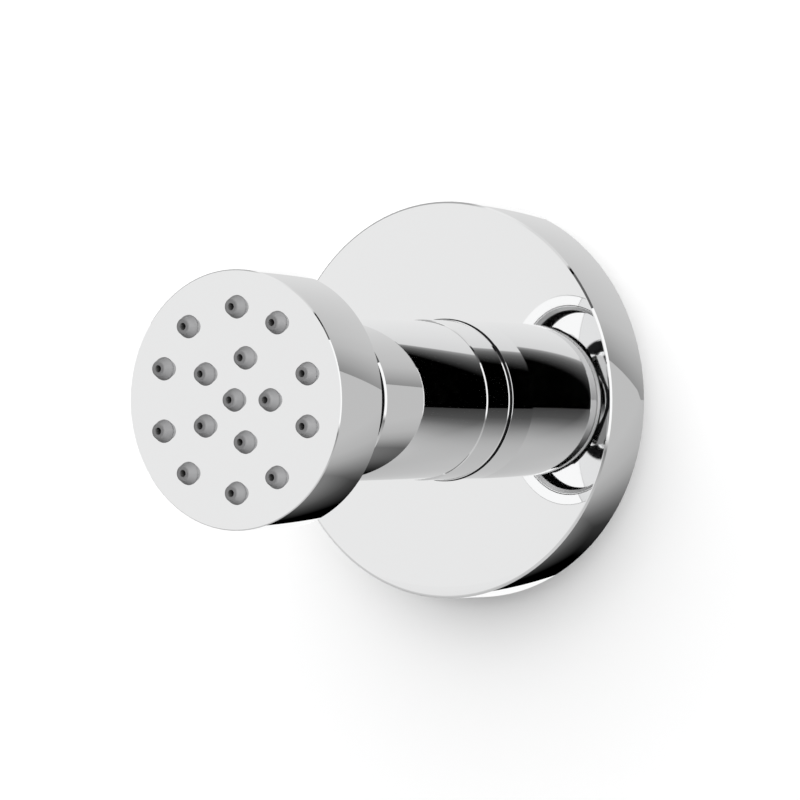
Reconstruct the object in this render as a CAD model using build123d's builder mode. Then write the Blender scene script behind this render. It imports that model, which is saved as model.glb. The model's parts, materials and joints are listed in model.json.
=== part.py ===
"""Swivel shower body jet: wall flange, inlet body, collar sleeve, ball stem and round spray head.

The jet stands on the wall plane Y = 0 and points along -Y, with +Z up.
Turned pieces are drawn as half sections: radius across, distance from the wall upwards.
"""
import os
from math import acos, asin, atan, cos, degrees, radians, sin, sqrt, tan

from build123d import *

os.makedirs("parts", exist_ok=True)

# Wall flange
flange_dia = 62.0
flange_depth = 9.3
flange_face = 1.6
flange_rim = 2.6
flange_edge = 0.27
hub_wall = 4.0
hub_length = 4.6
hub_back_lip = 1.2
flange_fit = 0.25
gasket_thickness = 2.2
gasket_width = 3.2
gasket_wall = 1.4
gasket_fit = 0.1
gasket_recess = 0.1

# Inlet body, with a G 1/2 pipe thread on its stub
inlet_thread_dia = 20.955
inlet_reach = 12.0
inlet_lead = 0.8
inlet_bore = 15.0
inlet_bore_depth = 15.0
shank_dia = 20.4
waterway = 9.0
tube_dia = 25.0
collar_height = 6.5
seam_step = 0.12
foot_gap = 0.25
foot_bead = 0.1
foot_wall = 0.35
collar_ring_width = 0.6
collar_ring_height = 0.7
collar_ring_fit = 0.05
spigot_land = 1.0

# Collar sleeve
sleeve_length = 27.25
sleeve_wall = 1.55
sleeve_thread_fit = 0.15
sleeve_edge = 0.26
lip_thickness = 1.8
lip_flare_angle = 36.0
wiper_wall = 0.3
wiper_thickness = 0.7
wiper_fit = 0.05

# Ball stem
tilt_limit = 15.0
swing_margin = 2.2
ball_room = 0.85
ball_play = 0.2
lip_play = 0.3
ball_mouth = 10.0
neck_dia = 14.0
stem_thread_dia = 10.0
stem_bore = 6.4
flare_depth = 4.0
shoulder_land = 1.4
shoulder_height = 2.4

# Ball seats
seat_side_play = 0.08
seat_end_play = 0.2
seat_bore = 10.0
seat_rim = 5.8
seat_height = 5.8
bearing_height = 2.2
bearing_end_play = 0.1

# Spray head
head_dia = 39.0
head_gap = 11.25
head_wall = 2.0
head_edge = 0.15
face_thickness = 1.0
cover_fit = 0.15
cover_recess = 3.0
cover_bevel = 0.65
cover_land = 0.1
cover_thickness = 1.7
cover_rim_height = 2.3
cover_rim_width = 2.4
cover_groove_lip = 0.3
cover_hole_fit = 0.1
nut_wall = 3.0
nut_height = 2.0
nut_thread_fit = 0.1
stem_end_stand = 0.2
spray_chamber = 0.9
plate_thickness = 0.9
plate_skirt = 1.4
plate_fit = 0.4

# Nozzles
mat_thickness = 0.9
nozzle_root_dia = 3.44
nozzle_tip_dia = 2.3
nozzle_step = 0.2
nozzle_reach = 1.5
nozzle_tip_round = 0.3
nozzle_orifice = 1.1
nozzle_hole_fit = 0.04
plate_hole_dia = 2.4
inner_ring_radius = 6.6
inner_ring_count = 5
outer_ring_margin = 5.6
outer_pair_turn = 16.3

# O-rings
oring_fit = 0.05
flange_oring_section = 1.5
body_oring_section = 1.4
seat_oring_section = 1.4
seat_oring_stand = 0.1
stem_oring_section = 1.0
cover_oring_section = 1.0
regulator_oring_section = 1.5

# Strainer and flow regulator
insert_fit = 0.1
regulator_height = 5.0
regulator_wall = 1.2
regulator_floor = 1.6
regulator_core_dia = 6.0
regulator_hole_dia = 1.5
regulator_hole_count = 8
strainer_height = 2.4
strainer_wall = 1.1
strainer_floor = 0.8
strainer_hub_dia = 4.2
strainer_slot_margin = 1.2
strainer_slot_width = 1.0
strainer_slot_count = 8

# Radii and distances from the wall that the pieces share
turning = Plane(origin=(0, 0, 0), x_dir=(1, 0, 0), z_dir=(0, 0, -1))
flange_r = flange_dia / 2
stub_r = inlet_thread_dia / 2
shank_r = shank_dia / 2
tube_r = tube_dia / 2
sleeve_r = tube_r - seam_step
sleeve_bore_r = sleeve_r - sleeve_wall
spigot_r = sleeve_bore_r - sleeve_thread_fit
ball_r = sleeve_bore_r - ball_room
neck_r = neck_dia / 2
stem_thread_r = stem_thread_dia / 2
socket_r = ball_r + ball_play
lip_angle = asin(neck_r / ball_r) + radians(tilt_limit + swing_margin)
lip_back_r = (ball_r + lip_play) * sin(lip_angle)
head_r = head_dia / 2
head_bore_r = head_r - head_wall

seam_at = flange_depth + collar_height
lip_at = seam_at + sleeve_length
lip_back = lip_at - lip_thickness
ball_at = lip_back - (ball_r + lip_play) * cos(lip_angle)
seat_front = ball_at - seat_rim
seat_back = seat_front - seat_height
spigot_end = seat_back - seat_end_play
head_back = lip_at + head_gap
cover_back = head_back + cover_recess
cover_front = cover_back + cover_thickness
cover_rim_front = cover_back + cover_rim_height
stem_end = cover_front + nut_height + stem_end_stand
plate_back = stem_end + spray_chamber
mat_back = plate_back + plate_thickness
face_back = mat_back + mat_thickness
head_front = face_back + face_thickness
cover_r = head_bore_r - cover_fit
inlet_end = -inlet_reach
regulator_front = inlet_end + inlet_bore_depth
regulator_back = regulator_front - regulator_height
strainer_back = regulator_back - strainer_height
insert_r = inlet_bore / 2 - insert_fit

outer_ring_radius = head_r - outer_ring_margin
nozzle_points = [Vector(0, 0)]
for step in range(inner_ring_count):
    turn = 360 * step / inner_ring_count
    nozzle_points.append(Vector(inner_ring_radius, 0).rotate(Axis.Z, turn))
    nozzle_points.append(Vector(outer_ring_radius, 0).rotate(Axis.Z, turn - outer_pair_turn))
    nozzle_points.append(Vector(outer_ring_radius, 0).rotate(Axis.Z, turn + outer_pair_turn))


def rise(sphere_radius, radius):
    """Distance along the axis from a sphere's centre to its surface at a radius."""
    return sqrt(sphere_radius**2 - radius**2)


def groove_width(section):
    """Width of the groove that an O-ring of this section lies in."""
    return section + 4 * oring_fit


# Wall flange: a turned cup, open to the wall, with a hub round the inlet stub
flange_bore_r = stub_r + flange_fit
hub_r = flange_bore_r + hub_wall
hub_back = flange_depth - hub_length
flange_oring_r = shank_r + oring_fit + flange_oring_section / 2
flange_groove_r = shank_r + 2 * oring_fit + flange_oring_section
flange_groove_back = hub_back + hub_back_lip
flange_groove_front = flange_groove_back + groove_width(flange_oring_section)
ledge_r = flange_r - flange_rim
rebate_r = flange_r - gasket_wall
with BuildPart() as wall_flange:
    with BuildSketch(turning):
        with BuildLine():
            Polyline(
                (flange_bore_r, hub_back),
                (hub_r, hub_back),
                (hub_r, flange_depth - flange_face),
                (ledge_r, flange_depth - flange_face),
                (ledge_r, gasket_thickness),
                (rebate_r, gasket_thickness),
                (rebate_r, 0),
                (flange_r, 0),
                (flange_r, flange_depth - flange_edge),
                (flange_r - flange_edge, flange_depth),
                (flange_bore_r, flange_depth),
                (flange_bore_r, flange_groove_front),
                (flange_groove_r, flange_groove_front),
                (flange_groove_r, flange_groove_back),
                (flange_bore_r, flange_groove_back),
                close=True,
            )
        make_face()
    revolve(axis=Axis.Y)
wall_flange.part.label = "wall_flange"
export_step(wall_flange.part, "parts/wall_flange.step")

# Wall gasket: flat ring in the rebate of the flange's back edge
with BuildPart() as wall_gasket:
    with BuildSketch(Plane.XZ.offset(gasket_recess)):
        Circle(rebate_r - gasket_fit)
        Circle(rebate_r - gasket_fit - gasket_width, mode=Mode.SUBTRACT)
    extrude(amount=gasket_thickness - gasket_recess)
wall_gasket.part.label = "wall_gasket"
export_step(wall_gasket.part, "parts/wall_gasket.step")

# Flange O-ring: grips the shank inside the flange's hub
with BuildPart() as flange_oring:
    with BuildSketch(turning):
        with Locations((flange_oring_r, (flange_groove_back + flange_groove_front) / 2)):
            Circle(flange_oring_section / 2)
    revolve(axis=Axis.Y)
flange_oring.part.label = "flange_oring"
export_step(flange_oring.part, "parts/flange_oring.step")

# Inlet body: threaded stub, visible collar that clamps the flange, and spigot for the sleeve
foot_at = flange_depth + foot_gap
foot_inner_r = tube_r - foot_wall
collar_ring_r = foot_inner_r - collar_ring_fit
collar_ring_bore_r = collar_ring_r - collar_ring_width
foot_groove_r = collar_ring_bore_r - collar_ring_fit
foot_groove_depth = collar_ring_height + collar_ring_fit
body_groove_back = seam_at + spigot_land
body_groove_front = body_groove_back + groove_width(body_oring_section)
body_groove_r = sleeve_bore_r - 2 * oring_fit - body_oring_section
seat_groove_depth = seat_oring_section + oring_fit - seat_oring_stand
seat_groove_half = groove_width(seat_oring_section) / 2
seat_oring_r = (waterway / 2 + spigot_r) / 2
with BuildPart() as inlet_body:
    with BuildSketch(turning):
        with BuildLine():
            Polyline(
                (inlet_bore / 2, inlet_end),
                (stub_r - inlet_lead, inlet_end),
                (stub_r, inlet_end + inlet_lead),
                (stub_r, 0),
                (shank_r, 0),
                (shank_r, flange_depth),
                (foot_inner_r, flange_depth),
                (foot_inner_r, foot_at),
                (tube_r, foot_at),
                (tube_r + foot_bead, foot_at + foot_bead),
                (tube_r, foot_at + 2 * foot_bead),
                (tube_r, seam_at - seam_step),
                (sleeve_r, seam_at),
                (spigot_r, seam_at),
                (spigot_r, body_groove_back),
                (body_groove_r, body_groove_back),
                (body_groove_r, body_groove_front),
                (spigot_r, body_groove_front),
                (spigot_r, spigot_end),
                (seat_oring_r + seat_groove_half, spigot_end),
                (seat_oring_r + seat_groove_half, spigot_end - seat_groove_depth),
                (seat_oring_r - seat_groove_half, spigot_end - seat_groove_depth),
                (seat_oring_r - seat_groove_half, spigot_end),
                (waterway / 2, spigot_end),
                (waterway / 2, regulator_front),
                (inlet_bore / 2, regulator_front),
                close=True,
            )
        make_face()
        with Locations((foot_groove_r, flange_depth)):
            Rectangle(
                foot_inner_r - foot_groove_r,
                foot_groove_depth,
                align=(Align.MIN, Align.MIN),
                mode=Mode.SUBTRACT,
            )
    revolve(axis=Axis.Y)
inlet_body.part.label = "inlet_body"
export_step(inlet_body.part, "parts/inlet_body.step")

# Collar ring: rubber ring in a groove under the collar's foot that seals it on the flange
with BuildPart() as collar_ring:
    with BuildSketch(Plane.XZ.offset(flange_depth)):
        Circle(collar_ring_r)
        Circle(collar_ring_bore_r, mode=Mode.SUBTRACT)
    extrude(amount=collar_ring_height)
collar_ring.part.label = "collar_ring"
export_step(collar_ring.part, "parts/collar_ring.step")

# Flow regulator: cup with a core post and a ring of holes in its floor
with BuildPart() as flow_regulator:
    with BuildSketch(Plane.XZ.offset(regulator_back)):
        Circle(insert_r)
    extrude(amount=regulator_height)
    with BuildSketch(Plane.XZ.offset(regulator_back)):
        Circle(insert_r - regulator_wall)
        Circle(regulator_core_dia / 2, mode=Mode.SUBTRACT)
    extrude(amount=regulator_height - regulator_floor, mode=Mode.SUBTRACT)
    with BuildSketch(Plane.XZ.offset(regulator_back)):
        with PolarLocations((insert_r - regulator_wall + regulator_core_dia / 2) / 2, regulator_hole_count):
            Circle(regulator_hole_dia / 2)
    extrude(amount=regulator_height, mode=Mode.SUBTRACT)
flow_regulator.part.label = "flow_regulator"
export_step(flow_regulator.part, "parts/flow_regulator.step")

# Regulator ring: elastic ring round the core that narrows the holes as pressure rises
regulator_ring_r = regulator_core_dia / 2 + oring_fit + regulator_oring_section / 2
regulator_ring_at = regulator_front - regulator_floor - oring_fit - regulator_oring_section / 2
with BuildPart() as regulator_ring:
    with BuildSketch(turning):
        with Locations((regulator_ring_r, regulator_ring_at)):
            Circle(regulator_oring_section / 2)
    revolve(axis=Axis.Y)
regulator_ring.part.label = "regulator_ring"
export_step(regulator_ring.part, "parts/regulator_ring.step")

# Strainer: shallow cup with radial slots that keeps grit out of the regulator
slot_start = strainer_hub_dia / 2
slot_end = insert_r - strainer_slot_margin
with BuildPart() as strainer:
    with BuildSketch(Plane.XZ.offset(strainer_back)):
        Circle(insert_r)
    extrude(amount=strainer_height)
    with BuildSketch(Plane.XZ.offset(strainer_back + strainer_floor)):
        Circle(insert_r - strainer_wall)
    extrude(amount=strainer_height - strainer_floor, mode=Mode.SUBTRACT)
    with BuildSketch(Plane.XZ.offset(strainer_back)):
        with PolarLocations((slot_start + slot_end) / 2, strainer_slot_count):
            SlotOverall(slot_end - slot_start, strainer_slot_width)
    extrude(amount=strainer_floor, mode=Mode.SUBTRACT)
strainer.part.label = "strainer"
export_step(strainer.part, "parts/strainer.step")

# Body O-ring: seals the sleeve on the spigot
with BuildPart() as body_oring:
    with BuildSketch(turning):
        with Locations((body_groove_r + oring_fit + body_oring_section / 2,
                        (body_groove_back + body_groove_front) / 2)):
            Circle(body_oring_section / 2)
    revolve(axis=Axis.Y)
body_oring.part.label = "body_oring"
export_step(body_oring.part, "parts/body_oring.step")

# Seat O-ring: stands out of the spigot's end and presses the rear seat on the ball
with BuildPart() as seat_oring:
    with BuildSketch(turning):
        with Locations((seat_oring_r, spigot_end + seat_oring_stand - seat_oring_section / 2)):
            Circle(seat_oring_section / 2)
    revolve(axis=Axis.Y)
seat_oring.part.label = "seat_oring"
export_step(seat_oring.part, "parts/seat_oring.step")

# Collar sleeve: smooth tube whose flared front lip holds the ball in and carries the wiper ring
lip_front_r = lip_back_r + lip_thickness * tan(radians(lip_flare_angle))
wiper_back = lip_at - wiper_thickness
wiper_back_r = lip_front_r - wiper_thickness * tan(radians(lip_flare_angle))
wiper_seat_r = sleeve_r - wiper_wall
with BuildPart() as collar_sleeve:
    with BuildSketch(turning):
        with BuildLine():
            Polyline(
                (sleeve_bore_r, seam_at),
                (sleeve_r, seam_at),
                (sleeve_r, lip_at - sleeve_edge),
                (sleeve_r - sleeve_edge, lip_at),
                (wiper_seat_r, lip_at),
                (wiper_seat_r, wiper_back),
                (wiper_back_r, wiper_back),
                (lip_back_r, lip_back),
                (sleeve_bore_r, lip_back),
                close=True,
            )
        make_face()
    revolve(axis=Axis.Y)
collar_sleeve.part.label = "collar_sleeve"
export_step(collar_sleeve.part, "parts/collar_sleeve.step")

# Wiper ring: rubber ring in the lip's front that keeps grit off the ball
with BuildPart() as wiper_ring:
    with BuildSketch(turning):
        with BuildLine():
            Polyline(
                (wiper_back_r, wiper_back),
                (lip_front_r, lip_at),
                (wiper_seat_r - wiper_fit, lip_at),
                (wiper_seat_r - wiper_fit, wiper_back),
                close=True,
            )
        make_face()
    revolve(axis=Axis.Y)
wiper_ring.part.label = "wiper_ring"
export_step(wiper_ring.part, "parts/wiper_ring.step")

# Rear seat: ring with a spherical face behind the ball
seat_r = sleeve_bore_r - seat_side_play
seat_rim_r = rise(socket_r, seat_rim)
with BuildPart() as rear_seat:
    with BuildSketch(turning):
        with BuildLine():
            Polyline(
                (seat_bore / 2, ball_at - rise(socket_r, seat_bore / 2)),
                (seat_bore / 2, seat_back),
                (seat_r, seat_back),
                (seat_r, seat_front),
                (seat_rim_r, seat_front),
            )
            RadiusArc(
                (seat_rim_r, seat_front),
                (seat_bore / 2, ball_at - rise(socket_r, seat_bore / 2)),
                socket_r,
            )
        make_face()
    revolve(axis=Axis.Y)
rear_seat.part.label = "rear_seat"
export_step(rear_seat.part, "parts/rear_seat.step")

# Front bearing: ring with a spherical face between the ball and the sleeve's lip
bearing_front = lip_back - bearing_end_play
bearing_back = bearing_front - bearing_height
bearing_back_r = rise(socket_r, bearing_back - ball_at)
bearing_front_r = rise(socket_r, bearing_front - ball_at)
with BuildPart() as front_bearing:
    with BuildSketch(turning):
        with BuildLine():
            Polyline(
                (bearing_back_r, bearing_back),
                (seat_r, bearing_back),
                (seat_r, bearing_front),
                (bearing_front_r, bearing_front),
            )
            RadiusArc((bearing_front_r, bearing_front), (bearing_back_r, bearing_back), socket_r)
        make_face()
    revolve(axis=Axis.Y)
front_bearing.part.label = "front_bearing"
export_step(front_bearing.part, "parts/front_bearing.step")

# Ball stem: hollow ball, neck, hex shoulder against the head and threaded end
cover_hole_r = stem_thread_r + cover_hole_fit
stem_groove_r = cover_hole_r + groove_width(stem_oring_section)
mouth_r = ball_mouth / 2
mouth_at = ball_at - rise(ball_r, mouth_r)
neck_start = ball_at + rise(ball_r, neck_r)
mouth_angle = degrees(acos(mouth_r / ball_r))
neck_angle = degrees(acos(neck_r / ball_r))
with BuildPart() as ball_stem:
    with BuildSketch(turning):
        with BuildLine():
            CenterArc((0, ball_at), ball_r, -mouth_angle, mouth_angle + neck_angle)
            Polyline(
                (neck_r, neck_start),
                (neck_r, cover_back),
                (stem_thread_r, cover_back),
                (stem_thread_r, stem_end),
                (stem_bore / 2, stem_end),
                (stem_bore / 2, mouth_at + flare_depth),
                (mouth_r, mouth_at),
            )
        make_face()
    revolve(axis=Axis.Y)
    with BuildSketch(Plane.XZ.offset(cover_back - shoulder_height)):
        RegularPolygon(neck_r + shoulder_land, 6, major_radius=False)
        Circle(stem_bore / 2, mode=Mode.SUBTRACT)
    extrude(amount=shoulder_height)
ball_stem.part.label = "ball_stem"
export_step(ball_stem.part, "parts/ball_stem.step")

# Back cover: dished disc that screws into the head from behind and carries the stem
recess_r = cover_r - cover_land - cover_bevel
stem_groove_depth = stem_oring_section + oring_fit
cover_groove_back = cover_back + cover_groove_lip
cover_groove_front = cover_groove_back + groove_width(cover_oring_section)
cover_groove_r = head_bore_r - 2 * oring_fit - cover_oring_section
with BuildPart() as back_cover:
    with BuildSketch(turning):
        with BuildLine():
            Polyline(
                (cover_hole_r, cover_front),
                (cover_hole_r, cover_back + stem_groove_depth),
                (stem_groove_r, cover_back + stem_groove_depth),
                (stem_groove_r, cover_back),
                (recess_r, cover_back),
                (recess_r, head_back + cover_bevel),
                (recess_r + cover_bevel, head_back),
                (cover_r, head_back),
                (cover_r, cover_groove_back),
                (cover_groove_r, cover_groove_back),
                (cover_groove_r, cover_groove_front),
                (cover_r, cover_groove_front),
                (cover_r, cover_rim_front),
                (cover_r - cover_rim_width, cover_rim_front),
                (cover_r - cover_rim_width, cover_front),
                close=True,
            )
        make_face()
    revolve(axis=Axis.Y)
back_cover.part.label = "back_cover"
export_step(back_cover.part, "parts/back_cover.step")

# Stem O-ring: under the hex shoulder, in the cover's back face
with BuildPart() as stem_oring:
    with BuildSketch(turning):
        with Locations(((cover_hole_r + stem_groove_r) / 2, cover_back + stem_oring_section / 2)):
            Circle(stem_oring_section / 2)
    revolve(axis=Axis.Y)
stem_oring.part.label = "stem_oring"
export_step(stem_oring.part, "parts/stem_oring.step")

# Cover O-ring: seals the cover in the head's bore
with BuildPart() as cover_oring:
    with BuildSketch(turning):
        with Locations((cover_groove_r + oring_fit + cover_oring_section / 2,
                        (cover_groove_back + cover_groove_front) / 2)):
            Circle(cover_oring_section / 2)
    revolve(axis=Axis.Y)
cover_oring.part.label = "cover_oring"
export_step(cover_oring.part, "parts/cover_oring.step")

# Stem nut: thin hex nut that locks the stem in the cover
with BuildPart() as stem_nut:
    with BuildSketch(Plane.XZ.offset(cover_front)):
        RegularPolygon(stem_thread_r + nut_wall, 6, major_radius=False)
        Circle(stem_thread_r + nut_thread_fit, mode=Mode.SUBTRACT)
    extrude(amount=nut_height)
stem_nut.part.label = "stem_nut"
export_step(stem_nut.part, "parts/stem_nut.step")

# Spray plate: shares out the water, and its skirt lets the cover clamp the mat
plate_r = head_bore_r - plate_fit
with BuildPart() as spray_plate:
    with BuildSketch(Plane.XZ.offset(cover_rim_front)):
        Circle(plate_r)
    extrude(amount=mat_back - cover_rim_front)
    with BuildSketch(Plane.XZ.offset(cover_rim_front)):
        Circle(plate_r - plate_skirt)
    extrude(amount=plate_back - cover_rim_front, mode=Mode.SUBTRACT)
    with BuildSketch(Plane.XZ.offset(plate_back)):
        with Locations(*nozzle_points):
            Circle(plate_hole_dia / 2)
    extrude(amount=plate_thickness, mode=Mode.SUBTRACT)
spray_plate.part.label = "spray_plate"
export_step(spray_plate.part, "parts/spray_plate.step")

# Nozzle mat: one silicone moulding, its tapered, round-tipped nozzles standing out through the face
nozzle_cone = nozzle_reach - nozzle_step
nozzle_taper = degrees(atan((nozzle_root_dia - nozzle_tip_dia) / 2 / nozzle_cone))
with BuildPart() as nozzle_mat:
    with BuildSketch(Plane.XZ.offset(mat_back)):
        Circle(plate_r)
    extrude(amount=mat_thickness)
    with BuildSketch(Plane.XZ.offset(face_back)):
        with Locations(*nozzle_points):
            Circle(nozzle_root_dia / 2)
    extrude(amount=face_thickness + nozzle_step)
    with BuildSketch(Plane.XZ.offset(head_front + nozzle_step)):
        with Locations(*nozzle_points):
            Circle(nozzle_root_dia / 2)
    extrude(amount=nozzle_cone, taper=nozzle_taper)
    fillet(nozzle_mat.edges().group_by(Axis.Y)[0], radius=nozzle_tip_round)
    with BuildSketch(Plane.XZ.offset(mat_back)):
        with Locations(*nozzle_points):
            Circle(nozzle_orifice / 2)
    extrude(amount=head_front + nozzle_reach - mat_back, mode=Mode.SUBTRACT)
nozzle_mat.part.label = "nozzle_mat"
export_step(nozzle_mat.part, "parts/nozzle_mat.step")

# Head shell: polished cup whose face is pierced for the nozzles
with BuildPart() as head_shell:
    with BuildSketch(turning):
        with BuildLine():
            Polyline(
                (0, face_back),
                (head_bore_r, face_back),
                (head_bore_r, head_back),
                (head_r - head_edge, head_back),
                (head_r, head_back + head_edge),
                (head_r, head_front - head_edge),
                (head_r - head_edge, head_front),
                (0, head_front),
                close=True,
            )
        make_face()
    revolve(axis=Axis.Y)
    with BuildSketch(Plane.XZ.offset(face_back)):
        with Locations(*nozzle_points):
            Circle(nozzle_root_dia / 2 + nozzle_hole_fit)
    extrude(amount=face_thickness, mode=Mode.SUBTRACT)
head_shell.part.label = "head_shell"
export_step(head_shell.part, "parts/head_shell.step")
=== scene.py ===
# %% [markdown]
# # A polished shower body jet, dressed for a product picture
# The solids of the jet come from a CAD model: a wall flange, a short tube and a flat spray head on a ball.
# This lesson gives them their finishes, adds the details that are too fine for the solids, and builds the
# small studio in which polished metal looks like polished metal. All lengths are in metres, the wall is
# the plane Y = 0, the jet points along -Y and Z is up.

# %% Load the CAD frame
import json
from math import atan2, cos, inf, pi, radians, sin, tan

import bpy
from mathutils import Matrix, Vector

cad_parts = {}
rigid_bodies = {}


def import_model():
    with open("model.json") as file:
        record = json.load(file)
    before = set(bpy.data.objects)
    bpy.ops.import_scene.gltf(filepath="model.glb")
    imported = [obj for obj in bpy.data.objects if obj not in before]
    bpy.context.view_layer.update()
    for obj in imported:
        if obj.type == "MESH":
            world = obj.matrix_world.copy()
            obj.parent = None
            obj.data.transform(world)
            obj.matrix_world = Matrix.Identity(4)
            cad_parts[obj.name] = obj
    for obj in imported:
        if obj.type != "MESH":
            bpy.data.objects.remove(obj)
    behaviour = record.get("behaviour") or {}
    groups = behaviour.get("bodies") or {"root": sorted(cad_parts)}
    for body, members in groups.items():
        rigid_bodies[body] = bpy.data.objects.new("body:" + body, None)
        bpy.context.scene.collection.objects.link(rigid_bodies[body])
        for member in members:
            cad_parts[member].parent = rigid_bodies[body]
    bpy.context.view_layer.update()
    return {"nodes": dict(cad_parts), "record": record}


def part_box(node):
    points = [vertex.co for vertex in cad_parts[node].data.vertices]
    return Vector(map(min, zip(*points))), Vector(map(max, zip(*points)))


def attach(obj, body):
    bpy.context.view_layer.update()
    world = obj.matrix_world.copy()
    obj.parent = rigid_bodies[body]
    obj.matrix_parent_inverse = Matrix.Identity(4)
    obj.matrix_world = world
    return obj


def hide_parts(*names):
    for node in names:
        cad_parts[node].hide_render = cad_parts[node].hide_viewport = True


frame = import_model()
nodes = frame["nodes"]

# %% [markdown]
# ## The camera
# A product picture like this is taken from far away with a long lens, so that the round faces stay nearly
# true ellipses. The camera stands level with the jet, a metre from the flange's face and about 35 degrees
# to the right of straight ahead. Sliding it sideways, instead of turning it, keeps the view direction
# and moves the jet to its place in the picture.

# %% Camera
MM = 0.001
IMAGE_SIDE = 800
view_turn = radians(34.63)
view_distance = 1000 * MM
view_slide = 6.93 * MM
pixels_per_metre = 6403
flange_face = -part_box("wall_flange")[0].y


def new_object(name, data):
    """A new object in the scene."""
    made = bpy.data.objects.new(name, data)
    bpy.context.scene.collection.objects.link(made)
    return made


lens = bpy.data.cameras.new("camera")
lens.sensor_width = 36
lens.lens = pixels_per_metre * view_distance * lens.sensor_width / IMAGE_SIDE
lens.clip_start = 0.01
lens.clip_end = 50
camera = new_object("camera", lens)
bpy.context.scene.camera = camera
ahead = Vector((-sin(view_turn), cos(view_turn), 0))
sideways = Vector((cos(view_turn), sin(view_turn), 0))
camera.location = Vector((0, -flange_face, 0)) - view_distance * ahead - view_slide * sideways
camera.rotation_euler = ahead.to_track_quat("-Z", "Y").to_euler()
bpy.context.scene.view_settings.view_transform = "Standard"
print("camera: lens", round(lens.lens, 1), "mm")

# %% [markdown]
# ## Small helpers for shader nodes
# Every finish below is a handful of nodes, and a few small functions keep that readable. The first ones add
# a node, set or link its inputs, do a step of arithmetic and stretch a value between limits.

# %% Node helpers
def feed(tree, socket, value):
    """Links a socket to another one, or sets its value."""
    if isinstance(value, bpy.types.NodeSocket):
        tree.links.new(value, socket)
    elif value is not None:
        socket.default_value = value


def add(tree, kind, *values, **settings):
    """A new node with its settings made and its first inputs linked or set."""
    node = tree.nodes.new("ShaderNode" + kind)
    for name, value in settings.items():
        setattr(node, name, value)
    for socket, value in zip(node.inputs, values):
        feed(tree, socket, value)
    return node


def sums(tree, operation, *values):
    """One step of arithmetic."""
    return add(tree, "Math", *values, operation=operation).outputs[0]


def vectors(tree, operation, *values):
    """One step of vector arithmetic."""
    node = add(tree, "VectorMath", *values, operation=operation)
    return node.outputs["Value" if operation == "LENGTH" else "Vector"]


def spread(tree, value, *limits):
    """A value stretched from two limits to 0 and 1, or to two more limits."""
    return add(tree, "MapRange", value, *limits).outputs[0]


print("node helpers ready")

# %% [markdown]
# The others paint: a run of greys between stops, a choice between two colours, and a cloudy pattern. A grey
# is written as it looks on the screen and turned into light, because shaders count light and not screen
# values.

# %% Helpers that paint
# Places of the colour sockets in Blender's Mix node
MIX_FIRST = 6
MIX_SECOND = 7
MIX_RESULT = 2

# Nearly all values of a cloudy pattern lie between these
CLOUD_LOW = 0.3
CLOUD_HIGH = 0.7


def grey(screen):
    """Light of a grey that shows as this value, 0 to 255, on the screen, by the screen's standard curve."""
    share = screen / 255
    light = share / 12.92 if share <= 0.04045 else ((share + 0.055) / 1.055) ** 2.4
    return (light, light, light, 1)


def shades(tree, value, stops):
    """Greys that run between stops of (value, grey)."""
    low, high = stops[0][0], stops[-1][0]
    ramp = add(tree, "ValToRGB", spread(tree, value, low, high))
    elements = ramp.color_ramp.elements
    elements.remove(elements[-1])
    for count, (stop, screen) in enumerate(stops):
        place = (stop - low) / (high - low)
        element = elements[0] if count == 0 else elements.new(place)
        element.position = place
        element.color = grey(screen)
    return ramp.outputs[0]


def either(tree, choice, no, yes):
    """The first colour where choice is 0 and the second where it is 1."""
    node = add(tree, "Mix", choice, data_type="RGBA")
    feed(tree, node.inputs[MIX_FIRST], no)
    feed(tree, node.inputs[MIX_SECOND], yes)
    return node.outputs[MIX_RESULT]


def clouds(tree, place, scale, detail):
    """A cloudy pattern with values round one half."""
    node = add(tree, "TexNoise", place)
    node.inputs["Scale"].default_value = scale
    node.inputs["Detail"].default_value = detail
    return node.outputs[0]


WHITE = grey(255)
print("paint helpers ready")

# %% [markdown]
# ## The studio that the chrome sees
# Polished chrome has almost no look of its own: it shows the room. This room has a wide white card at the
# front left, a black flag at the front right, a floor under both, a white window at the right, and a pale
# wall above a darker one behind the jet. It could be built from lit planes, but drawing it in the world by
# direction keeps it the same for a small jet from every side. A direction is named by its turn, which
# counts clockwise from straight into the wall as seen from above, and by its height over the level, both in
# degrees. The heading is the same turn, counted to either side.

# %% Directions in the studio
IN_DEGREES = 180 / pi
FULL_TURN = 360
world = bpy.data.worlds.new("studio")
bpy.context.scene.world = world
world.use_nodes = True
room = world.node_tree
room.nodes.clear()
way = add(room, "SeparateXYZ", add(room, "TexCoord").outputs["Generated"]).outputs
heading = sums(room, "MULTIPLY", sums(room, "ARCTAN2", way[0], way[1]), IN_DEGREES)
turn = sums(room, "MODULO", sums(room, "ADD", heading, FULL_TURN), FULL_TURN)
height = sums(room, "MULTIPLY", sums(room, "ARCSINE", way[2]), IN_DEGREES)


def both(first, second):
    """1 where both conditions hold."""
    return sums(room, "MULTIPLY", first, second)


def above(value, limit):
    """1 where a value is above a limit."""
    return sums(room, "GREATER_THAN", value, limit)


def line(start, slope, value):
    """A straight line: start plus slope times the value."""
    return sums(room, "MULTIPLY_ADD", value, slope, start)


# Turns at which the parts of the room meet
behind_end = 51
beside_end = 134
front_end = 300
print("directions:", len(room.nodes), "nodes")

# %% [markdown]
# ### Behind the jet
# The sides of flange, tube and head look past the jet to the back of the room. A pale wall shades off
# towards a slanting edge. The darker wall under it runs down to black at the left, and the floor lightens
# it again further down. A strip at the far left is white.

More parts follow.
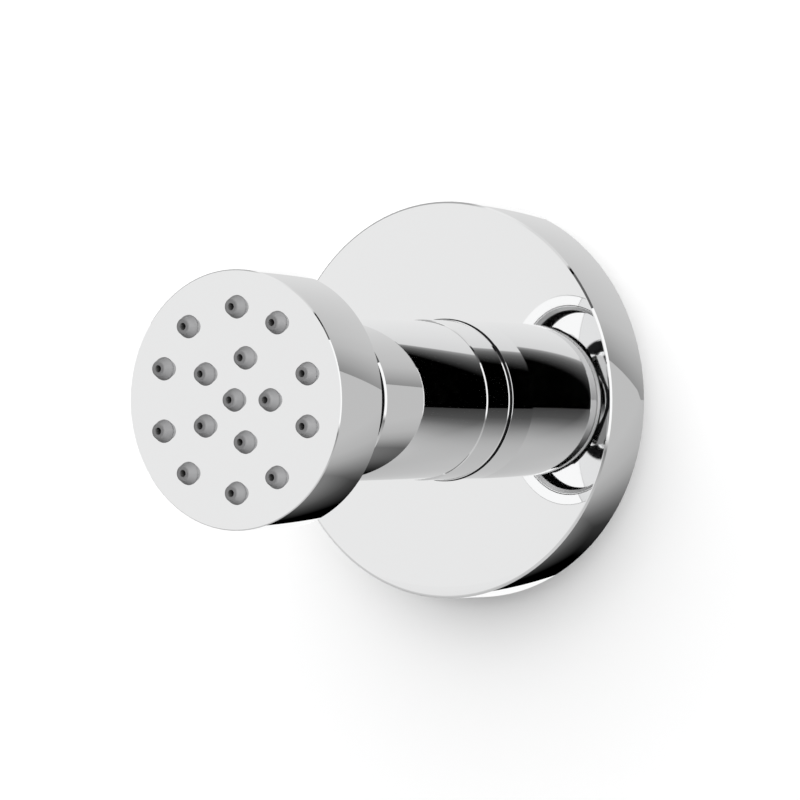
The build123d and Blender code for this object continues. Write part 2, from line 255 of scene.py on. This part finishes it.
# %% Walls behind
edge_height = -16.1
edge_slope = 0.72
over_edge = sums(room, "SUBTRACT", height, line(edge_height, edge_slope, heading))
wall_tone = shades(room, heading, [(-28, 221), (-10, 211), (10, 202), (30, 193), (46, 183)])
edge_shade = shades(room, over_edge, [(0, 195), (5, 213), (8, 224), (14, 239), (20, 250), (30, 255)])
upper_wall = sums(room, "MULTIPLY", wall_tone, edge_shade)

fade_start = 20.8
fade_slope = 0.8
towards_right = sums(room, "ADD", heading, line(fade_start, fade_slope, height))
wall_fade = shades(room, towards_right, [
    (-14, 0), (0, 51), (8, 96), (16, 135), (24, 165), (32, 181), (46, 191)])
glow_slope = 0.37
towards_floor = sums(room, "SUBTRACT", sums(room, "MULTIPLY", heading, glow_slope), height)
floor_glow = shades(room, towards_floor, [(24.5, 0), (27, 24), (32, 50), (36, 68), (42, 99), (48, 123)])
lower_wall = sums(room, "MAXIMUM", wall_fade, floor_glow)

corner_top = -10
corner_side = -11
dark_corner = both(above(corner_top, height), above(corner_side, heading))
on_upper_wall = both(above(over_edge, 0), sums(room, "SUBTRACT", 1, dark_corner))
walls = either(room, on_upper_wall, lower_wall, upper_wall)
strip_foot = line(-16, 0.5, height)
strip_top = line(-18, -0.62, height)
left_strip = both(above(strip_foot, heading), above(strip_top, heading))
behind = either(room, left_strip, walls, WHITE)
print("walls behind:", len(room.nodes), "nodes so far")

# %% [markdown]
# ### In front of the jet
# The flat faces, and the tube by way of the flange's mirror, look to the front. A black flag has a soft left
# edge beside the wide white card, and the card dims at its far end. Over the flag's top the room is light
# again. The floor under them runs from dark to light, and lies in a softer light at the left.

# %% Flag, card and floor
flag_end = 172.5
flag_top = 56
flag_blur = 2
flag_and_card = shades(room, turn, [
    (beside_end, 0), (157, 0), (160, 45), (164, 78), (168, 108), (171.5, 152), (flag_end, 218),
    (190, 227), (212, 234), (226, 236), (250, 236), (262, 170), (front_end, 165)])
over_flag = both(above(height, flag_top), above(flag_end, turn))
light_above = shades(room, height, [(flag_top, 85), (flag_top + flag_blur, 218)])
over_floor = either(room, over_flag, flag_and_card, light_above)

floor_right = shades(room, height, [
    (-60, 205), (-42, 194), (-34, 182), (-30, 172), (-26, 155), (-22, 135), (-18, 105), (-14, 80), (-7, 62)])
floor_left = shades(room, height, [(-60, 190), (-42, 187), (-26, 195), (-12, 208), (-7, 232)])
right_floor_to = 156
left_floor_from = 190
floor = either(room, spread(room, turn, right_floor_to, left_floor_from), floor_right, floor_left)
floor_end = -6.7
front = either(room, above(height, floor_end), floor, over_floor)
print("front of the room:", len(room.nodes), "nodes so far")

# %% [markdown]
# ### The window, and who sees the room
# The window at the right gives the fine edges of the turned pieces their bright glints. Its foot is soft,
# so that the glints fade out as they do on a real edge. Only glossy rays see the room. The camera sees plain
# white, as in a cut-out product picture, and soft surfaces get an even light.

# %% Window and rays
window_top = 38
window_from = -21
window_full = -14
ceiling = grey(95)
soft_light = grey(80)
window_foot = spread(room, height, window_from, window_full)
in_window = both(window_foot, above(window_top, height))
round_window = either(room, above(height, window_top), floor_right, ceiling)
beside = either(room, in_window, round_window, WHITE)

cards = either(room, above(turn, behind_end), behind, beside)
cards = either(room, above(turn, beside_end), cards, front)
cards = either(room, above(turn, front_end), cards, behind)

rays = add(room, "LightPath").outputs
seen = either(room, rays["Is Glossy Ray"], soft_light, cards)
seen = either(room, rays["Is Camera Ray"], seen, WHITE)
add(room, "OutputWorld", add(room, "Background", seen).outputs[0])
print("studio:", len(room.nodes), "nodes")

# %% [markdown]
# ## The wall
# The jet hangs on a plain white wall, and what ties it there is the soft shadow under the flange. Away from
# the jet the wall turns to the plain white of the background. It has no back: seen from inside the wall it
# is clear, so that the inlet can be looked at too. The metal does not mirror this wall, because its studio
# is drawn in the world.

# %% Wall
wall_half = 3.0
wall_gap = 0.05 * MM
shadow_reach = 0.15
plain_from = 0.3
wall_tint = grey(240)
wall_corners = [(x * wall_half, 0, z * wall_half) for x, z in ((-1, -1), (1, -1), (1, 1), (-1, 1))]
wall_mesh = bpy.data.meshes.new("wall")
wall_mesh.from_pydata(wall_corners, [], [(0, 1, 2, 3)])
wall = new_object("wall", wall_mesh)
wall.location.y = wall_gap
wall.visible_glossy = False

paint = bpy.data.materials.new("wall_paint")
paint.use_nodes = True
tree = paint.node_tree
tree.nodes.clear()
matt = add(tree, "BsdfDiffuse", wall_tint)
plain = add(tree, "Emission", WHITE)
clear = add(tree, "BsdfTransparent")
from_jet = vectors(tree, "LENGTH", add(tree, "TexCoord").outputs["Object"])
far_off = spread(tree, from_jet, shadow_reach, plain_from)
seen_plain = sums(tree, "MULTIPLY", far_off, add(tree, "LightPath").outputs["Is Camera Ray"])
front_coat = add(tree, "MixShader", seen_plain, matt.outputs[0], plain.outputs[0])
on_back = add(tree, "NewGeometry").outputs["Backfacing"]
coat = add(tree, "MixShader", on_back, front_coat.outputs[0], clear.outputs[0])
add(tree, "OutputMaterial", coat.outputs[0])
wall_mesh.materials.append(paint)
print("wall:", 2 * wall_half, "m wide")

# %% [markdown]
# ## The large lamp
# One large round lamp above the camera's left shoulder throws the shadow. It is wide, so the shadow is soft.
# The metal does not mirror it either. A second lamp, further below, is made by the same function.

# %% Large lamp
lamp_distance = 2.0


def disc_lamp(name, size, watts, towards):
    """A round soft lamp that stands in a direction from the jet and points at it."""
    data = bpy.data.lights.new(name, "AREA")
    data.shape = "DISK"
    data.size = size
    data.energy = watts
    made = new_object(name, data)
    made.location = Vector(towards).normalized() * lamp_distance
    made.rotation_euler = (-made.location).to_track_quat("-Z", "Y").to_euler()
    made.visible_glossy = False
    return made


lamp = disc_lamp("soft_lamp", size=4.0, watts=104.0, towards=(-0.09, -1.0, 0.47))
print("lamp:", lamp.data.energy, "W at", [round(v, 2) for v in lamp.location])

# %% [markdown]
# ## Buffed chrome
# The visible pieces are turned from brass, buffed and chrome plated. A buffing wheel always takes a
# little more at an edge than in the middle of a face, so a buffed flat is very slightly domed and a
# buffed tube is very slightly barrelled. Nobody can see that in the shape, but everybody sees it in the
# reflections: mirrored lines lean towards the ends. The material pushes its normal over in the same way:
# along the axis on a tube, outwards on a flat, and a little more on the rolled outer edge of the flange's
# face.

# %% Buffed forms
rolled_edge = 0.43 * MM


def tube_push(tree, along_axis, on_tube, tube, leans):
    """Push on a tube's normal along the axis, for leans in degrees at its back and front."""
    back_push, front_push = (tan(radians(lean)) for lean in leans)
    push = spread(tree, along_axis, -tube[0], -tube[1], back_push, front_push)
    push = sums(tree, "MULTIPLY", sums(tree, "MULTIPLY", push, on_tube), -1)
    return add(tree, "CombineXYZ", 0.0, push, 0.0).outputs[0]


def face_push(tree, parts, on_face, face, face_lean, edge_lean):
    """Push on a flat face's normal outwards, for leans in degrees at its outer radius."""
    flat_place = add(tree, "CombineXYZ", parts[0], 0.0, parts[2]).outputs[0]
    radius = vectors(tree, "LENGTH", flat_place)
    outer = spread(tree, radius, *face)
    push = sums(tree, "MULTIPLY", sums(tree, "MULTIPLY", outer, outer), tan(radians(face_lean)))
    on_edge = sums(tree, "GREATER_THAN", radius, face[1] - rolled_edge)
    push = sums(tree, "MULTIPLY_ADD", on_edge, tan(radians(edge_lean)), push)
    outward = add(tree, "VectorMath", vectors(tree, "NORMALIZE", flat_place), operation="SCALE")
    feed(tree, outward.inputs["Scale"], sums(tree, "MULTIPLY", push, on_face))
    return outward.outputs[0]


print("buffed forms ready")

# %% [markdown]
# The roughness of the plating wanders a little, as a hand-polished skin does. The bore of the recess in the
# head's back is painted black, a painted shade in the recess, and its bevel is satin. Tube, face and bevel
# are told apart by how far the surface leans from the axis.

# %% Chrome recipe
plating = (0.968, 0.97, 0.972, 1)
tube_steepest = 0.3
face_flattest = -0.95
bevel_middle = 0.7
bevel_reach = 0.2
haze_scale = 90
haze_detail = 3
least_haze = 0.012
most_haze = 0.03
satin = 0.35
# Painted shade: the black that the bore of a recess is painted with
bore_shade = grey(12)


def buffed_chrome(name, tube=(0, 1), leans=(0, 0), face=(0, 1), face_lean=0, edge_lean=0, bore_painted_dark=False):
    """Chrome for a turned piece.

    tube holds the distances of its back and front from the wall, and face its flat's inner and outer radius.
    The leans, in degrees, say how far the normal is pushed over at their ends. With the bore flag the tube
    is painted black, as painted shade in a recess, and the bevels are satin.
    """
    material = bpy.data.materials.new(name)
    material.use_nodes = True
    tree = material.node_tree
    shader = tree.nodes["Principled BSDF"]
    shader.inputs["Base Color"].default_value = plating
    shader.inputs["Metallic"].default_value = 1
    place = add(tree, "TexCoord").outputs
    parts = add(tree, "SeparateXYZ", place["Object"]).outputs
    facing = add(tree, "SeparateXYZ", place["Normal"]).outputs[1]
    steep = sums(tree, "ABSOLUTE", facing)
    on_tube = sums(tree, "LESS_THAN", steep, tube_steepest)
    on_face = sums(tree, "LESS_THAN", facing, face_flattest)
    leaned = vectors(tree, "ADD", place["Normal"], tube_push(tree, parts[1], on_tube, tube, leans))
    leaned = vectors(tree, "ADD", leaned, face_push(tree, parts, on_face, face, face_lean, edge_lean))
    in_world = add(
        tree, "VectorTransform", vectors(tree, "NORMALIZE", leaned),
        vector_type="NORMAL", convert_from="OBJECT", convert_to="WORLD")
    feed(tree, shader.inputs["Normal"], in_world.outputs[0])

    cloud = clouds(tree, place["Object"], haze_scale, haze_detail)
    haze = spread(tree, cloud, CLOUD_LOW, CLOUD_HIGH, least_haze, most_haze)
    # Painted shade: the bore of a recess gets a black matt coat instead of chrome, and the bevels only get
    # rougher
    if bore_painted_dark:
        on_bevel = sums(tree, "COMPARE", steep, bevel_middle, bevel_reach)
        haze = sums(tree, "MAXIMUM", haze, sums(tree, "MULTIPLY", on_bevel, satin))
        black = add(tree, "BsdfDiffuse", bore_shade)
        skin = add(tree, "MixShader", on_tube, shader.outputs[0], black.outputs[0])
        feed(tree, tree.nodes["Material Output"].inputs["Surface"], skin.outputs[0])
    feed(tree, shader.inputs["Roughness"], haze)
    return material


print("chrome recipe ready")

# %% [markdown]
# Each piece has its own leans, because each was held to the wheel in its own way. The flange's rim and the
# head's side are barrelled most. The ball stem and the head's back are small, and are taken as straight.

# %% Chrome on the solids
def give(finish, *names):
    """Puts a finish on CAD solids."""
    for name in names:
        nodes[name].data.materials.clear()
        nodes[name].data.materials.append(finish)


def span(name):
    """Distances from the wall of a solid's back and front."""
    low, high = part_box(name)
    return -high.y, -low.y


sleeve_back, sleeve_front = span("collar_sleeve")
tube_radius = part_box("inlet_body")[1].x
flange_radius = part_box("wall_flange")[1].x
give(buffed_chrome("sleeve_chrome", (sleeve_back, sleeve_front), leans=(-3.4, 4.6)), "collar_sleeve")
give(buffed_chrome("collar_chrome", (flange_face, sleeve_back), leans=(0.4, 1.4)), "inlet_body")
give(buffed_chrome("head_chrome", span("head_shell"), leans=(-3.0, 6.7)), "head_shell")
# The back cover's bore carries painted shade
give(buffed_chrome("cover_chrome", bore_painted_dark=True), "back_cover")
give(buffed_chrome("stem_chrome"), "ball_stem")
flange_chrome = buffed_chrome(
    "flange_chrome", (0, flange_face), leans=(-5.3, 6.2),
    face=(tube_radius, flange_radius), face_lean=3.75, edge_lean=5.0)
give(flange_chrome, "wall_flange")
print("chrome on", [n for n in nodes if "chrome" in nodes[n].data.materials[0].name])

# %% [markdown]
# ## The pipe thread behind the wall
# The stub that screws into the wall carries a half-inch pipe thread: 14 turns to the inch, 1.16 mm deep,
# with rounded crests and roots. On a lathe one tool cuts it in a few passes. The solid only has its outer
# cylinder, so a copy of the inlet body loses that skin and gets a new one: rings of points round the stub
# whose radius follows the thread. The thread runs out just behind the wall, and the lead-in chamfer cuts it
# at the end.

# %% Thread rings
thread_size = next(m["dims"] for m in frame["record"]["mounts"] if m["name"] == "inlet_thread")
crest = thread_size["r_mm"] * MM
chamfer_start = thread_size["length_mm"] * MM
inch_in_mm = 25.4
turns_per_inch = 14
thread_pitch = inch_in_mm / turns_per_inch * MM
thread_depth = 1.162 * MM
run_out = 1.8 * MM
stub_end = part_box("inlet_body")[1].y
around = 192
rings_per_turn = 12
rows = round(stub_end / thread_pitch * rings_per_turn)


def stub_radius(angle, depth):
    """Radius of the threaded stub at an angle and a depth behind the wall."""
    groove = 0.5 - 0.5 * cos(2 * pi * depth / thread_pitch + angle)
    cut = thread_depth * groove * min(depth / run_out, 1)
    return crest - max(cut, depth - chamfer_start)


def thread_ring(depth):
    """Points of the threaded skin at one depth, in order from angle -pi to pi."""
    angles = [2 * pi * step / around - pi for step in range(around)]
    radii = [stub_radius(angle, depth) for angle in angles]
    return [Vector((r * cos(a), depth, r * sin(a))) for r, a in zip(radii, angles)]


thread_rings = [thread_ring(row / rows * stub_end) for row in range(1, rows + 1)]
print("thread:", round(stub_end / thread_pitch, 1), "turns,", len(thread_rings), "rings")

# %% [markdown]
# The old skin is found by its place: everything of the stub that lies outside its bore. What is kept of the
# copy keeps the exact normals of the solid, because the collar in front is a mirror. Only the collar's foot
# moves: the rubber ring under it, made below, holds it a little further off the flange.

# %% Inlet body without its plain skin
hair = 0.01 * MM
bore = 7.5 * MM
bore_margin = 0.1 * MM
facing_front = -0.9
foot_bead = 0.1 * MM
foot_radius = tube_radius - foot_bead
foot_wall = 0.35 * MM
foot_gap = 0.25 * MM
foot_at = flange_face + foot_gap
foot_lift = 0.15 * MM
solid = nodes["inlet_body"].data


def off_axis(point):
    """Distance of a point from the jet's axis."""
    return Vector((point.x, point.z)).length


def on_stub_skin(point):
    """Whether a point is on the outside or the end of the stub."""
    return point.y > -hair and (off_axis(point) > bore + bore_margin or point.y > stub_end - hair)


def is_skin(face):
    """Whether a face of the solid is outer skin or end of the stub."""
    return face.normal.y > facing_front and all(on_stub_skin(solid.vertices[i].co) for i in face.vertices)


points = [v.co.copy() for v in solid.vertices]
for point in points:
    on_foot = off_axis(point) > foot_radius - foot_wall - hair
    if on_foot and foot_at - hair < -point.y < foot_at + 2 * foot_bead + hair:
        point.y -= foot_lift
kept = [face for face in solid.polygons if not is_skin(face)]
faces = [tuple(face.vertices) for face in kept]
normals = [solid.corner_normals[i].vector.copy() for face in kept for i in face.loop_indices]
print("inlet body:", len(kept), "of", len(solid.polygons), "faces kept")

# %% [markdown]
# The new skin has to close the copy without a slit. So its first and last rings take the very points of the
# kept faces, on the stub's shoulder at the wall and on the edge of its bore. These have other counts than
# the rings between them, so the strips from ring to ring are laced with triangles: whichever side lags
# behind in angle steps forward next.

# %% Lacing of rings
DIGITS = 6


def angle_of(point):
    """Angle of a point round the axis, from -pi to pi."""
    return round(atan2(point.z, point.x), DIGITS)


def rim(radius, depth):
    """Points of the kept faces on one circle of the stub, in order round it."""
    found = {}
    for point in (points[i] for face in kept for i in face.vertices):
        if abs(off_axis(point) - radius) < hair and abs(point.y - depth) < hair:
            found[round(point.x, DIGITS), round(point.z, DIGITS)] = point
    return sorted(found.values(), key=angle_of)


def next_angle(ring, step):
    """Angle of the point that follows on a ring of point numbers, without end once the ring is done."""
    if step == len(ring):
        return inf
    if step + 1 == len(ring):
        return angle_of(points[ring[0]]) + 2 * pi
    return angle_of(points[ring[step + 1]])


def strip(low, high):
    """Triangles that lace two rings of point numbers together."""
    triangles = []
    i = j = 0
    while i < len(low) or j < len(high):
        here, there = low[i % len(low)], high[j % len(high)]
        if next_angle(high, j) <= next_angle(low, i):
            j += 1
            triangles.append((here, there, high[j % len(high)]))
        else:
            i += 1
            triangles.append((here, there, low[i % len(low)]))
    return triangles


skin_rings = [rim(crest, 0), *thread_rings, rim(bore, stub_end)]
print("rings:", [len(ring) for ring in (skin_rings[0], skin_rings[1], skin_rings[-1])], "points each")

# %% [markdown]
# Laced together, the rings and the kept faces are one closed piece. It takes the inlet body's place and its
# chrome.

# %% Threaded inlet
numbers = []
for ring in skin_rings:
    numbers.append(range(len(points), len(points) + len(ring)))
    points.extend(ring)
for low, high in zip(numbers, numbers[1:]):
    faces.extend(strip(low, high))

# A zero normal leaves the new triangles to Blender's own smoothing
smooth = Vector((0, 0, 0))
normals.extend([smooth] * 3 * (len(faces) - len(kept)))

thread_mesh = bpy.data.meshes.new("threaded_inlet")
thread_mesh.from_pydata(points, [], faces)
thread_mesh.polygons.foreach_set("use_smooth", [True] * len(faces))
thread_mesh.normals_split_custom_set(normals)
thread_mesh.materials.append(solid.materials[0])
threaded_inlet = new_object("threaded_inlet", thread_mesh)
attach(threaded_inlet, "base")
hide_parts("inlet_body")
print("threaded inlet:", len(faces), "faces with the body")

# %% [markdown]
# ## The ring under the collar
# The tube's foot presses a rubber ring on the flange. The solid ring is as large as before it is pressed. On
# the wall the collar squeezes it outwards until it fills the narrow gap under the foot and spreads a little
# along the flange's face, and that is the black line at the tube's end. Bending the old ring would leave its
# shape to chance, so a new section is drawn: the old ring with a lip in the gap.

# %% Section of the pressed ring
ring_width = 0.6 * MM
press_play = 0.005 * MM
lip_bulge = 0.21 * MM
bulge_from = 0.08
bulge_to = 0.4
ring_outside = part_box("collar_ring")[1].x
ring_inside = ring_outside - ring_width
ring_back, ring_front = span("collar_ring")
lip_height = foot_gap + foot_lift
lip_back = ring_back + press_play
lip_front = ring_back + lip_height - press_play
ring_section = [
    (ring_inside, lip_back),
    (foot_radius, lip_back),
    (foot_radius + lip_bulge, ring_back + lip_height * bulge_from),
    (foot_radius + lip_bulge, ring_back + lip_height * bulge_to),
    (foot_radius, lip_front),
    (ring_outside, lip_front),
    (ring_outside, ring_front),
    (ring_inside, ring_front),
]
print("ring section:", len(ring_section), "corners")

# %% [markdown]
# The section is turned round the axis, step by step, and the last step joins the first. The ring is dressed
# in the same rubber as the other seals, further below.

# %% Pressed collar ring
ring_points = []
ring_faces = []
corners = len(ring_section)
for step in range(around):
    angle = 2 * pi * step / around
    here = step * corners
    turned = (step + 1) % around * corners
    for count, (radius, distance) in enumerate(ring_section):
        after = (count + 1) % corners
        ring_points.append((radius * cos(angle), -distance, radius * sin(angle)))
        ring_faces.append((here + count, turned + count, turned + after, here + after))
ring_mesh = bpy.data.meshes.new("pressed_ring")
ring_mesh.from_pydata(ring_points, [], ring_faces)
pressed_ring = new_object("pressed_ring", ring_mesh)
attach(pressed_ring, "base")
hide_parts("collar_ring")
print("pressed ring:", len(ring_faces), "faces")

# %% [markdown]
# ## Silicone, rubber, plastic and brass
# The dull pieces are moulded or cut, and each has one even colour with a fine grain, so one recipe serves
# them all. A cloudy pattern lets colour and roughness drift a little, and a much finer one makes the pores.
# The walls of narrow holes get painted shade: their colour is darkened where the surface is closed in, as
# light would die there.

# %% Recipe for dull finishes
cloud_scale = 260
cloud_detail = 4
tint_low = 0.35
tint_high = 0.65
rough_drift = 0.06
pore_scale = 2500
pore_detail = 2
pore_depth = 0.05 * MM
# Painted shade inside narrow holes: occlusion samples, the grey, and the occlusion range over which it fades
# in
hole_samples = 12
hole_painted_shade = grey(96)
hole_shut = 0.6
hole_open = 0.9


def moulded(name, colour, rough, grain, dark=0.8, shine=0.5, metal=0, hole_size=None):
    """A moulded or cut finish: its colour drifts between colour and dark times colour, with a fine grain.

    Where a hole size is given, the walls of holes up to that width are darkened with painted shade.
    """
    material = bpy.data.materials.new(name)
    material.use_nodes = True
    tree = material.node_tree
    shader = tree.nodes["Principled BSDF"]
    shader.inputs["Specular IOR Level"].default_value = shine
    shader.inputs["Metallic"].default_value = metal
    place = add(tree, "TexCoord").outputs["Object"]
    cloud = clouds(tree, place, cloud_scale, cloud_detail)
    darker = tuple(dark * part for part in colour)
    tint = either(tree, spread(tree, cloud, tint_low, tint_high), (*darker, 1), (*colour, 1))
    # Painted shade: ambient occlusion darkens the colour on the walls of narrow holes
    if hole_size:
        walls_round = add(tree, "AmbientOcclusion", None, hole_size, samples=hole_samples, only_local=True)
        in_the_open = spread(tree, walls_round.outputs["AO"], hole_shut, hole_open)
        tint = either(tree, in_the_open, hole_painted_shade, tint)
    feed(tree, shader.inputs["Base Color"], tint)
    drift = spread(tree, cloud, CLOUD_LOW, CLOUD_HIGH, rough - rough_drift, rough + rough_drift)
    feed(tree, shader.inputs["Roughness"], drift)
    bump = add(tree, "Bump")
    bump.inputs["Strength"].default_value = grain
    bump.inputs["Distance"].default_value = pore_depth
    feed(tree, bump.inputs["Height"], clouds(tree, place, pore_scale, pore_detail))
    feed(tree, shader.inputs["Normal"], bump.outputs[0])
    return material


print("dull recipe ready")

# %% [markdown]
# The nozzles are moulded in soft grey silicone, so that lime can be rubbed off them: matt, a little waxy,
# with a faint dust. The seals are black rubber that hardly shines. The ball's seats and the spray plate are
# a pale bearing plastic, the flow regulator is green, the strainer is light grey, and the nut is bare brass.

# %% Dull finishes on the solids
nozzle_bore = 1.1 * MM
silicone = moulded(
    "nozzle_silicone", (0.33, 0.33, 0.335), rough=0.5, grain=0.15, dark=0.92, hole_size=nozzle_bore)
rubber = moulded("seal_rubber", (0.012, 0.012, 0.013), rough=0.66, grain=0.3, shine=0.12)
bearing = moulded("bearing_plastic", (0.72, 0.71, 0.67), rough=0.42, grain=0.1, dark=0.94)
regulator = moulded("regulator_plastic", (0.12, 0.26, 0.16), rough=0.4, grain=0.1, dark=0.9)
strainer = moulded("strainer_plastic", (0.62, 0.63, 0.64), rough=0.42, grain=0.1, dark=0.93)
brass = moulded("nut_brass", (0.72, 0.52, 0.22), rough=0.3, grain=0.1, dark=0.9, metal=1)
give(silicone, "nozzle_mat")
give(rubber, "wall_gasket", "wiper_ring", "regulator_ring", "collar_ring")
give(rubber, "flange_oring", "body_oring", "seat_oring", "stem_oring", "cover_oring")
ring_mesh.materials.append(rubber)
give(bearing, "rear_seat", "front_bearing", "spray_plate")
give(regulator, "flow_regulator")
give(strainer, "strainer")
give(brass, "stem_nut")
print("dull finishes on", sum("chrome" not in nodes[n].data.materials[0].name for n in nodes), "solids")

# %% [markdown]
# ## A lamp for the nozzles
# Under the large lamp alone the flat tips of the nozzles would shine and their sides would sink. A
# photographer lights such small dull pieces with a lamp of their own. This one stands at the front right,
# and light linking keeps it on the nozzles and keeps the large lamp off them.

# %% Nozzle lamp
nozzle_lamp = disc_lamp("nozzle_lamp", size=2.0, watts=50.0, towards=(0.8, -0.5, 0.2))
only_nozzles = bpy.data.collections.new("only_nozzles")
only_nozzles.objects.link(nodes["nozzle_mat"])
nozzle_lamp.light_linking.receiver_collection = only_nozzles
all_but_nozzles = bpy.data.collections.new("all_but_nozzles")
all_but_nozzles.objects.link(nodes["nozzle_mat"])
all_but_nozzles.collection_objects[0].light_linking.link_state = "EXCLUDE"
lamp.light_linking.receiver_collection = all_but_nozzles
print("nozzle lamp:", nozzle_lamp.data.energy, "W at", [round(v, 2) for v in nozzle_lamp.location])
